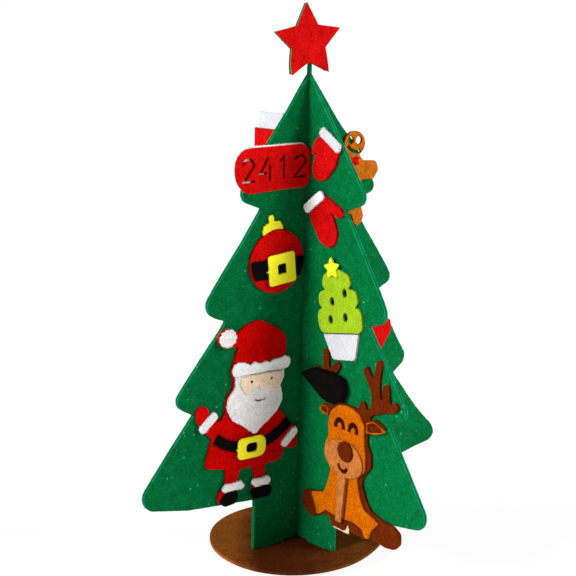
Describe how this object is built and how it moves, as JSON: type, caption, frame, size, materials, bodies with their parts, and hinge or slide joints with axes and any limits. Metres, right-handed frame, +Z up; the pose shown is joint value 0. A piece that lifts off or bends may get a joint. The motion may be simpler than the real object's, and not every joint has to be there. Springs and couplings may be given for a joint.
{
  "type": "felt christmas tree",
  "caption": "Standing felt Christmas tree of two crossed slotted panels on a round base, with layered felt ornaments and a star on top.",
  "frame": {"origin": "centre of the base's flat underside, under the line where the two panels cross", "axes": "+Z up along the line where the panels cross; the front panel lies along X, the side panel along Y; ornaments are on the -Y face of the front panel and the -X face of the side panel"},
  "size_m": [0.236, 0.236, 0.343],
  "materials": {
    "felt_base_brown": "pressed brown felt, mottled",
    "felt_green": "pressed green felt",
    "felt_red": "pressed red felt",
    "felt_white": "white felt, slightly fluffy",
    "felt_black": "black felt",
    "felt_yellow": "pressed yellow felt",
    "felt_lime": "pressed lime green felt",
    "felt_orange": "pressed orange felt",
    "felt_tan": "pressed tan felt",
    "felt_dark_brown": "pressed dark reddish brown felt",
    "felt_gingerbread": "pressed ginger brown felt",
    "felt_skin": "pressed skin coloured felt",
    "felt_cream": "pressed cream felt"
  },
  "bodies": {
    "base": {"base": "felt_base_brown"},
    "tree_bd": {"panel_bd": "felt_green", "upper_mitten_hand": "felt_red", "upper_mitten_cuff": "felt_white", "lower_mitten_hand": "felt_red", "lower_mitten_cuff": "felt_white", "potted_tree_foliage": "felt_lime", "potted_tree_pot": "felt_white", "potted_tree_star": "felt_yellow", "reindeer_backing": "felt_dark_brown", "reindeer_body": "felt_orange", "reindeer_left_ear": "felt_orange", "reindeer_right_ear": "felt_orange", "reindeer_muzzle": "felt_tan", "reindeer_nose": "felt_dark_brown", "reindeer_hoof_backing": "felt_cream", "black_cap": "felt_black", "stocking_leg": "felt_red", "stocking_cuff": "felt_white"},
    "tree_ac": {"panel_ac": "felt_green", "star": "felt_red", "plaque_backing": "felt_white", "plaque_front": "felt_red", "bauble_ball": "felt_red", "bauble_cap": "felt_yellow", "bauble_band": "felt_black", "bauble_buckle": "felt_yellow", "father_christmas_coat": "felt_red", "father_christmas_beard": "felt_white", "father_christmas_face": "felt_skin", "father_christmas_nose": "felt_skin", "father_christmas_hat_brim": "felt_white", "father_christmas_pompom": "felt_white", "father_christmas_belt": "felt_black", "father_christmas_buckle": "felt_yellow", "father_christmas_left_cuff": "felt_white", "father_christmas_right_cuff": "felt_white", "father_christmas_left_boot": "felt_black", "father_christmas_right_boot": "felt_black", "father_christmas_left_boot_trim": "felt_white", "father_christmas_right_boot_trim": "felt_white", "gingerbread_body": "felt_gingerbread", "gingerbread_bow": "felt_red", "heart": "felt_red"}
  },
  "joints": [
    {"name": "tree_lift", "type": "slide", "parent": "base", "child": "tree_bd", "axis": [0, 0, 1], "range_m": [0, 0.02]},
    {"name": "front_panel_lift", "type": "slide", "parent": "tree_bd", "child": "tree_ac", "axis": [0, 0, 1], "range_m": [0, 0.31]}
  ]
}
